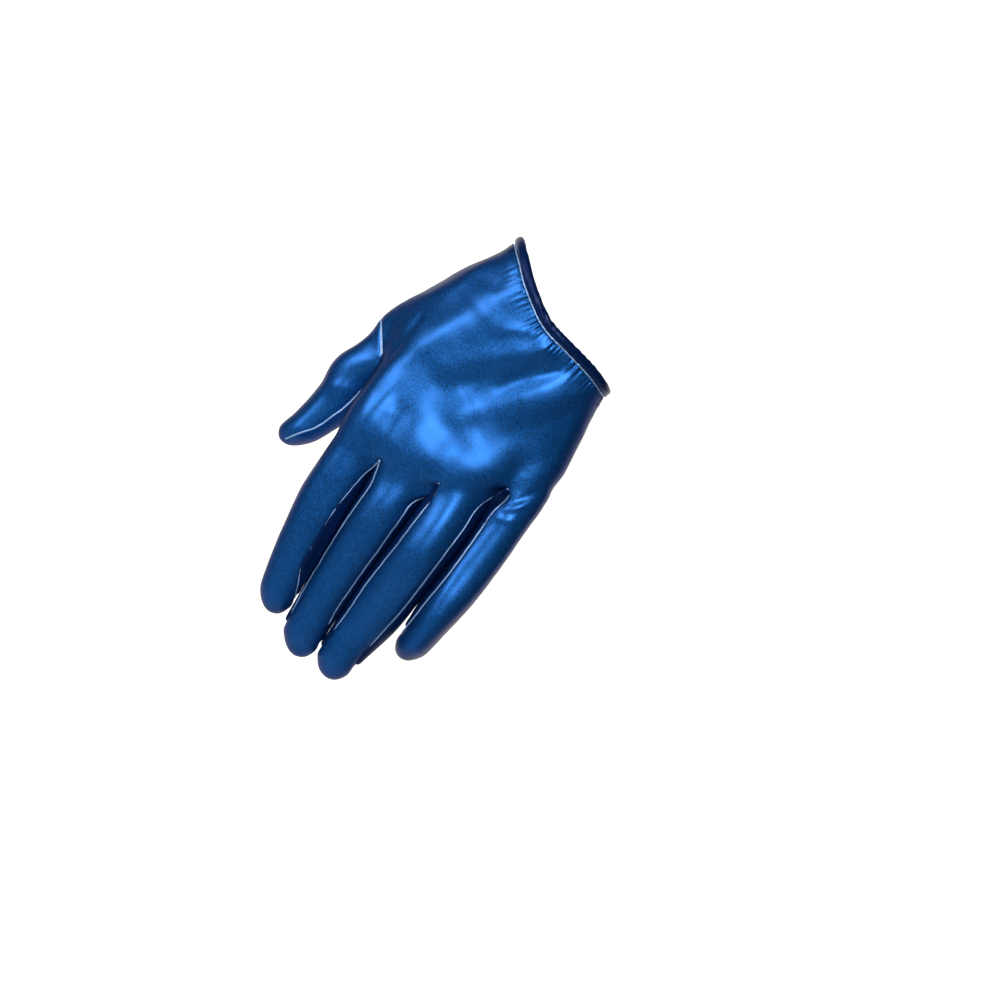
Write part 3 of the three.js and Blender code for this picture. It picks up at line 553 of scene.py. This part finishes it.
def outer_faces(bm, node):
    """The cloth's outer side: the largest patch, with the scraps that touch it along two edges.
    The second patch is the inner side."""
    outer, _inner, *scraps = patches(bm, node)
    keep = set(outer)
    for scrap in scraps:
        around = [other for face in scrap for edge in face.edges for other in edge.link_faces]
        if sum(face in outer for face in around) > 1:
            keep |= scrap
    return keep


def outer_sheet(node, name):
    """The outer side of a CAD node's cloth wall as a new open sheet."""
    bm = welded(node)
    keep = outer_faces(bm, node)
    unwanted = [face for face in bm.faces if face not in keep]
    bmesh.ops.delete(bm, geom=unwanted, context="FACES")
    return as_object(as_quads(bm), name)


def smooth_through(piece, levels):
    """Subdivides a mesh so that the smooth surface still passes through its old points."""
    mesh = piece.data
    wanted = places(mesh)
    modifier = piece.modifiers.new("smooth", "SUBSURF")
    modifier.levels = levels
    modifier.render_levels = levels
    modifier.boundary_smooth = "PRESERVE_CORNERS"
    for _ in range(CORRECTIONS):
        bpy.context.view_layer.update()
        smooth = piece.evaluated_get(bpy.context.evaluated_depsgraph_get())
        reached = places(smooth.data)[:len(wanted)]
        put_places(mesh, places(mesh) + wanted - reached)
    apply_all(piece)


def refine(piece):
    """Splits the faces of the back and knuckles once more, for the folds and gathers."""
    bm = bmesh.new()
    bm.from_mesh(piece.data)
    middles = [(face, face.calc_center_median() / MM) for face in bm.faces]
    chosen = {face for face, middle in middles if middle.y < FINE_Y and middle.z > FINE_Z}
    edges = [edge for edge in bm.edges if not chosen.isdisjoint(edge.link_faces)]
    bmesh.ops.subdivide_edges(bm, edges=edges, cuts=1, use_grid_fill=True)
    bm.to_mesh(piece.data)
    bm.free()


# Runs of places, in millimetres

def boundary_loops(piece):
    """The sheet's open edges as closed runs of places, longest first."""
    bm = bmesh.new()
    bm.from_mesh(piece.data)
    ahead = {}
    for edge in bm.edges:
        if edge.is_boundary:
            loop = edge.link_loops[0]
            ahead[loop.vert.index] = loop.link_loop_next.vert.index
    points = [vert.co / MM for vert in bm.verts]
    loops = []
    while ahead:
        start, at = ahead.popitem()
        run = [start]
        while at != start and at in ahead:
            run.append(at)
            at = ahead.pop(at)
        loops.append([points[i].copy() for i in run])
    bm.free()
    loops.sort(key=loop_length, reverse=True)
    return loops


def loop_length(run):
    """The length of a closed run."""
    return sum((a - b).length for a, b in zip(run, run[1:] + run[:1]))


def resample(run, step, closed=True):
    """The same run with even steps."""
    ends = run + run[:1] if closed else run
    marks = np.cumsum([0.0] + [(b - a).length for a, b in zip(ends, ends[1:])])
    count = max(LEAST_POINTS, int(marks[-1] / step))
    at = np.linspace(0, marks[-1], count, endpoint=not closed)
    columns = [np.interp(at, marks, column) for column in np.array(ends).T]
    return [Vector(row) for row in np.stack(columns, axis=1)]


def smoothed(run):
    """A closed run with its small corners rounded."""
    table = np.array(run)
    for _ in range(WELT_SMOOTHINGS):
        table = (np.roll(table, 1, 0) + 2 * table + np.roll(table, -1, 0)) / 4
    return [Vector(row) for row in table]


def tree_of(points):
    """A search tree that finds the nearest of some points."""
    tree = KDTree(len(points))
    for i, point in enumerate(points):
        tree.insert(point, i)
    tree.balance()
    return tree


def seen_places(piece, line):
    """The places on a piece's back that lie straight behind those of the glove's level view."""
    tree = BVHTree.FromObject(piece, bpy.context.evaluated_depsgraph_get())
    ahead = Vector((0, 1, 0))
    hits = [tree.ray_cast(Vector((x * MM, RAY_START_Y, z * MM)), ahead)[0] for x, z in line]
    if None in hits:
        raise ValueError(f"{piece.name} isn't behind every place of the seam")
    return [hit / MM for hit in hits]


# Shape of the cloth

def smooth_step(share):
    """A share from 0 to 1 that leaves both ends gently."""
    share = np.clip(share, 0, 1)
    return share * share * (3 - 2 * share)


def swell(piece, heights):
    """Moves a surface out along its normals: one height in millimetres, or one for each place."""
    lift = np.broadcast_to(heights, len(piece.data.vertices))
    put_places(piece.data, places(piece.data) + normals(piece.data) * lift[:, None])


def fold_heights(points):
    """Height of the folds at each place of the back, in millimetres."""
    x, z = points[:, 0], points[:, 2]
    start, end = FOLD_PART
    height = np.zeros(len(points))
    for fold in rows(FOLD_COLUMNS, FOLDS):
        along = np.array([fold["x2"] - fold["x1"], fold["z2"] - fold["z1"]])
        away = np.stack([x - fold["x1"], z - fold["z1"]], axis=1)
        share = np.clip(away @ along / (along @ along), 0, 1)
        distance = np.linalg.norm(away - share[:, None] * along, axis=1)
        width = fold["width1"] + (fold["width2"] - fold["width1"]) * share
        part = np.sin(math.pi * (start + (end - start) * share)) ** FOLD_POWER
        height += fold["height"] * part * np.exp(-((distance / width) ** 2))
    return height


def uneven_heights(points):
    """Slight unevenness of worn cloth, in millimetres, from crossing waves. The factors of x, y
    and z are radians per millimetre, chosen so that no pattern repeats."""
    x, y, z = points.T
    slow = np.sin(x * 0.21 + 1.3 * np.sin(z * 0.09)) * np.sin(z * 0.17 + 0.8 * np.sin(y * 0.2 + 1))
    quick = np.sin(x * 0.47 + z * 0.31 + 2) * np.sin(z * 0.43 - x * 0.19 + y * 0.3)
    return UNEVEN_SLOW * slow + UNEVEN_QUICK * quick


def shape_back(piece):
    """Raises the folds out of the back, and makes all the cloth slightly uneven."""
    points, out = places(piece.data), normals(piece.data)
    facing = np.clip(-out[:, 1], 0, 1) ** FACING_POWER
    swell(piece, facing * fold_heights(points) + uneven_heights(points))


def relief_columns(z):
    """The relief along each finger at some heights, smoothed from its table."""
    heights = np.array(RELIEF)[::-1].T
    fine = np.arange(heights[0, 0] - RELIEF_MARGIN, heights[0, -1] + RELIEF_MARGIN)
    kernel = np.exp(-(np.arange(-RELIEF_KERNEL, RELIEF_KERNEL + 1) / RELIEF_SMOOTH) ** 2)
    kernel /= kernel.sum()
    columns = []
    for column in heights[1:]:
        even = np.convolve(np.interp(fine, heights[0], column), kernel, "same")
        columns.append(np.interp(z, fine, even))
    return np.array(columns)


def relief(points):
    """How far the hand inside lifts each place, in millimetres."""
    x, y, z = points.T
    columns = relief_columns(z)
    place = np.interp(x, RELIEF_X, range(len(RELIEF_X)))
    left = np.minimum(place.astype(int), len(RELIEF_X) - 2)
    share = smooth_step(place - left)
    every = np.arange(len(points))
    lift = columns[left, every] * (1 - share) + columns[left + 1, every] * share
    return lift * smooth_step((RELIEF_NONE_Y - y) / (RELIEF_NONE_Y - RELIEF_FULL_Y))


def lift_back(piece):
    """Lifts a piece's back over the hand inside: the same for all pieces, so seams stay shut."""
    points = places(piece.data)
    points[:, 1] -= relief(points)
    put_places(piece.data, points)


def draw_end(strip):
    """Draws a strip's lower end on towards the end of the slit that it fills."""
    points = places(strip.data)
    share = smooth_step((points[:, 2].min() + STRIP_END_REACH - points[:, 2]) / STRIP_END_REACH)
    put_places(strip.data, points + share[:, None] * np.array(STRIP_END_MOVE))


def soften(piece, weights):
    """Evens a surface out where the weights say, by drawing each place towards its neighbours."""
    mesh = piece.data
    ends = np.empty(len(mesh.edges) * 2, dtype=int)
    mesh.edges.foreach_get("vertices", ends)
    a, b = ends.reshape(-1, 2).T
    count = np.bincount(ends, minlength=len(mesh.vertices))[:, None]
    points = places(mesh)
    for _ in range(SOFTEN_TIMES):
        total = np.zeros_like(points)
        np.add.at(total, a, points[b])
        np.add.at(total, b, points[a])
        points += weights[:, None] * (total / count - points)
    put_places(mesh, points)


def soften_parting(piece, loops):
    """Evens out the back where the palm's form passes into the fingers, and the pucker beside
    the thumb, clear of the seams."""
    seams = tree_of([point for run in loops for point in run])
    points = places(piece.data)
    clear = np.array([away for _, _, away in map(seams.find, points)]) / PARTING_CLEAR - 1
    above = points[:, 2] - np.interp(points[:, 0], *np.array(PARTING_LINE).T)
    reach = np.where(above > 0, PARTING_REACH_ABOVE, PARTING_REACH_BELOW)
    parting = np.exp(-(above / reach) ** 2) * np.clip(-normals(piece.data)[:, 1], 0, 1)
    from_pucker = np.linalg.norm(points - np.array(THUMB_PUCKER), axis=1)
    near = np.maximum(parting, smooth_step(2 - from_pucker / PUCKER_REACH))
    soften(piece, near * np.clip(clear, 0, 1))


def gather_wave(at, length, spacing, seed):
    """Height of the gathers at a place along a seam, as a share of their full height."""
    count = round(length / spacing)
    shift = GATHER_SHIFT * math.sin(seed + at * GATHER_SHIFT_RATE)
    change = GATHER_CHANGE * (math.sin(seed * 2 + at * GATHER_CHANGE_RATE) - 1)
    return (1 + change) * math.cos(2 * math.pi * (count * at / length + shift))


def shape_seam(piece, run, kind, seed):
    """Rolls the cloth's edge in and gathers it along one closed seam. The seed sets where its
    gathers stand, so that no two seams look alike."""
    settings = dict(zip(SEAM_COLUMNS, SEAM_KINDS[kind]))
    run = resample(run, SEAM_STEP)
    tree = tree_of(run)
    length = loop_length(run)
    points = places(piece.data)
    lift = np.zeros(len(points))
    for n, point in enumerate(points):
        _, nearest, away = tree.find(point)
        if away > settings["reach"] * GATHER_END:
            continue
        wave = gather_wave(nearest / len(run) * length, length, settings["spacing"], seed)
        lift[n] = settings["gather"] * wave * math.exp(-(away / settings["reach"]) ** GATHER_FALL)
        lift[n] -= settings["roll"] * math.exp(-(away / ROLL_REACH) ** 2)
    swell(piece, lift)


def seam_kinds(loops):
    """The kind of each of the trank's seams: the rim reaches highest, and the thumb's hole
    furthest to the thumb's side."""
    rim = max(loops, key=lambda run: max(point.z for point in run))
    hole = min(loops, key=lambda run: min(point.x for point in run))
    return ["rim" if run is rim else "thumb" if run is hole else "slit" for run in loops]


def ripple_heights(points):
    """The binding's puckers, in millimetres: slanting waves round the wrist, never quite even."""
    x, y, z = points.T
    turn = np.arctan2(y, x)
    shift = RIPPLE_SHIFT * np.sin(RIPPLE_SHIFT_COUNT * turn)
    change = RIPPLE_CHANGE * (np.sin(RIPPLE_CHANGE_COUNT * turn + 1) - 1)
    return RIPPLE_HEIGHT * (1 + change) * np.sin(RIPPLE_COUNT * turn + RIPPLE_SLANT * z + shift)


# Finishing

def finish_piece(piece, materials, node=None):
    """Smooth shading, materials, and the piece's place in the frame."""
    for name in materials:
        piece.data.materials.append(glove_material(name))
    shade_smooth(piece.data)
    if node:
        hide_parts(node)
    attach(piece, "root")


def give_wall(piece):
    """Turns a sheet into cloth with a wall, its wrong side in the second material."""
    wall = piece.modifiers.new("wall", "SOLIDIFY")
    wall.thickness = bpy.context.scene.glove.wall
    wall.offset = -1
    wall.material_offset = 1
    apply_all(piece)


def add_ring(bm, point, along, side):
    """The corners of one of a welt's rings, which stands square to the way that it runs."""
    up = along.cross(side)
    ring = []
    for k in range(WELT_SIDES):
        turn = 2 * math.pi * k / WELT_SIDES
        out = (side * math.cos(turn) + up * math.sin(turn)) * WELT_RADIUS
        ring.append(bm.verts.new((point + out) * MM))
    return ring


def add_tube(bm, run, closed):
    """One thin tube along a run of places."""
    last = len(run) - 1
    side = Vector((0, -1, 0))
    rings = []
    for i, point in enumerate(run):
        before = run[i - 1] if closed or i > 0 else point
        after = run[(i + 1) % len(run)] if closed or i < last else point
        along = (after - before).normalized()
        side = (side - along * side.dot(along)).normalized()
        rings.append(add_ring(bm, point, along, side))
    following = rings[1:] + rings[:1] if closed else rings[1:]
    for a, b in zip(rings, following):
        for k in range(WELT_SIDES):
            n = (k + 1) % WELT_SIDES
            bm.faces.new((a[k], a[n], b[n], b[k]))
    if not closed:
        bm.faces.new(rings[0][::-1])
        bm.faces.new(rings[-1])


def add_welt(name, runs, closed=True):
    """The folded edges along some seams, as one piece, bright from their painted highlight."""
    bm = bmesh.new()
    for run in runs:
        add_tube(bm, run, closed)
    bmesh.ops.recalc_face_normals(bm, faces=bm.faces)
    finish_piece(as_object(bm, name), ["polyester seam edge"])


def finish_sheet(sheet, node, welt_name):
    """Gives a shaped sheet of satin its materials and its wall, and its open edges their welts."""
    edges = [smoothed(resample(run, WELT_STEP)) for run in boundary_loops(sheet)]
    finish_piece(sheet, ["royal blue stretch satin", "satin wrong side"], node)
    give_wall(sheet)
    add_welt(welt_name, edges)


# Stage

def add_camera():
    """A long lens, level with the glove and rolled to the angle of the photograph."""
    data = bpy.data.cameras.new("camera")
    data.lens = LENS_MM
    data.sensor_width = SENSOR_MM
    camera = bpy.data.objects.new("camera", data)
    away = VIEW_WIDTH_MM * MM * LENS_MM / SENSOR_MM
    level = Matrix.Rotation(math.radians(90), 4, "X")
    roll = Matrix.Rotation(math.radians(VIEW_ROLL_DEG), 4, "Z")
    place = Matrix.Translation((VIEW_X_MM * MM, -away, VIEW_Z_MM * MM))
    camera.matrix_world = place @ level @ roll
    bpy.context.scene.collection.objects.link(camera)
    bpy.context.scene.camera = camera


def add_floor():
    """A pale seamless sheet: a floor that curves up into a wall behind."""
    outline = [(STAGE_FRONT, FLOOR_Z)]
    for i in range(STAGE_STEPS + 1):
        turn = math.pi / 2 * i / STAGE_STEPS
        outline.append((
            STAGE_BACK - STAGE_CURVE + STAGE_CURVE * math.sin(turn),
            FLOOR_Z + STAGE_CURVE * (1 - math.cos(turn))))
    outline.append((STAGE_BACK, STAGE_HEIGHT))
    bm = bmesh.new()
    left, right = (
        [bm.verts.new((x, y, z)) for y, z in outline]
        for x in (-STAGE_HALF_WIDTH, STAGE_HALF_WIDTH))
    for i in range(len(outline) - 1):
        bm.faces.new((left[i], right[i], right[i + 1], left[i + 1]))
    floor = as_object(bm, "stage_floor")
    shade_smooth(floor.data)
    floor.data.materials.append(backdrop_paper())


def add_lights():
    """Two softboxes at the glove, and two lights that brighten the wall behind it."""
    glove = Vector((0, 0, VIEW_Z_MM * MM))
    for light in rows(LIGHT_COLUMNS, LIGHTS):
        data = bpy.data.lights.new(light["name"], "AREA")
        data.shape = "RECTANGLE"
        data.size = light["width"]
        data.size_y = light["height"]
        data.energy = light["watts"]
        lamp = bpy.data.objects.new(light["name"], data)
        lamp.location = (light["x"], light["y"], light["z"])
        target = glove if light["at_glove"] else Vector((light["x"], STAGE_BACK, light["z"]))
        lamp.rotation_euler = (target - lamp.location).to_track_quat("-Z", "Y").to_euler()
        bpy.context.scene.collection.objects.link(lamp)


def add_room():
    """The dim light that comes from all sides."""
    world = bpy.data.worlds.new("pale room")
    bpy.context.scene.world = world
    world.use_nodes = True
    background = world.node_tree.nodes["Background"]
    background.inputs["Color"].default_value = linear("#eef2f8")
    background.inputs["Strength"].default_value = ROOM_STRENGTH


# Operators

class GLOVE_OT_stage(bpy.types.Operator):
    """Makes the camera, the pale floor and the lights"""
    bl_idname = "glove.stage"
    bl_label = "Stage"

    def execute(self, context):
        add_camera()
        add_floor()
        add_lights()
        add_room()
        context.scene.view_settings.view_transform = "Standard"
        return {"FINISHED"}


class GLOVE_OT_trank(bpy.types.Operator):
    """Makes the satin back and palm with its folds, knuckles, gathers and seam edges"""
    bl_idname = "glove.trank"
    bl_label = "Back and palm"

    def execute(self, context):
        sheet = outer_sheet("trank", "satin_trank")
        smooth_through(sheet, SMOOTH_LEVELS)
        refine(sheet)
        soften_parting(sheet, boundary_loops(sheet))
        lift_back(sheet)
        shape_back(sheet)
        loops = boundary_loops(sheet)
        for number, (run, kind) in enumerate(zip(loops, seam_kinds(loops))):
            shape_seam(sheet, run, kind, seed=number)
        finish_sheet(sheet, "trank", "seam_edges_trank")
        return {"FINISHED"}


class GLOVE_OT_strips(bpy.types.Operator):
    """Makes the strips of satin between the fingers"""
    bl_idname = "glove.strips"
    bl_label = "Strips between the fingers"

    def execute(self, context):
        for name, node in STRIPS:
            strip = as_object(as_quads(welded(node)), name)
            smooth_through(strip, SMOOTH_LEVELS)
            draw_end(strip)
            lift_back(strip)
            swell(strip, STRIP_SWELL)
            # Painted shade: the strips take the darker, shaded copy of the satin.
            finish_piece(strip, ["satin in the seams"], node)
        return {"FINISHED"}


class GLOVE_OT_thumb(bpy.types.Operator):
    """Makes the satin thumb with its base seam and the seam down its length"""
    bl_idname = "glove.thumb"
    bl_label = "Thumb"

    def execute(self, context):
        sheet = outer_sheet("thumb", "satin_thumb")
        smooth_through(sheet, THUMB_SMOOTH_LEVELS)
        lift_back(sheet)
        shape_back(sheet)
        for run in boundary_loops(sheet):
            shape_seam(sheet, run, "thumb", THUMB_SEED)
        seam = resample(seen_places(sheet, THUMB_SEAM), WELT_STEP, closed=False)
        finish_sheet(sheet, "thumb", "seam_edge_thumb_base")
        add_welt("seam_edge_thumb_length", [seam], closed=False)
        return {"FINISHED"}


class GLOVE_OT_binding(bpy.types.Operator):
    """Makes the rolled binding round the wrist opening"""
    bl_idname = "glove.binding"
    bl_label = "Wrist binding"

    def execute(self, context):
        roll = as_object(as_quads(welded("wrist_binding")), "rolled_binding")
        smooth_through(roll, SMOOTH_LEVELS)
        lift_back(roll)
        swell(roll, ripple_heights(places(roll.data)))
        # Painted shade: the binding takes the darker, shaded copy of the satin.
        finish_piece(roll, ["satin in the seams"], "wrist_binding")
        return {"FINISHED"}


OPERATORS = (GLOVE_OT_stage, GLOVE_OT_trank, GLOVE_OT_strips, GLOVE_OT_thumb, GLOVE_OT_binding)


class GLOVE_PT_panel(bpy.types.Panel):
    bl_label = "Dance glove"
    bl_idname = "GLOVE_PT_panel"
    bl_space_type = "VIEW_3D"
    bl_region_type = "UI"
    bl_category = "Glove"

    def draw(self, context):
        for name in GloveSizes.__annotations__:
            self.layout.prop(context.scene.glove, name)
        for operator in OPERATORS:
            self.layout.operator(operator.bl_idname)


CLASSES = (GloveSizes, *OPERATORS, GLOVE_PT_panel)


def register():
    for cls in CLASSES:
        bpy.utils.register_class(cls)
    bpy.types.Scene.glove = bpy.props.PointerProperty(type=GloveSizes)


def unregister():
    del bpy.types.Scene.glove
    for cls in reversed(CLASSES):
        bpy.utils.unregister_class(cls)


def main():
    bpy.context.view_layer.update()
    register()
    bpy.ops.glove.stage()
    bpy.ops.glove.trank()
    bpy.ops.glove.strips()
    bpy.ops.glove.thumb()
    bpy.ops.glove.binding()


if __name__ == "__main__":
    main()
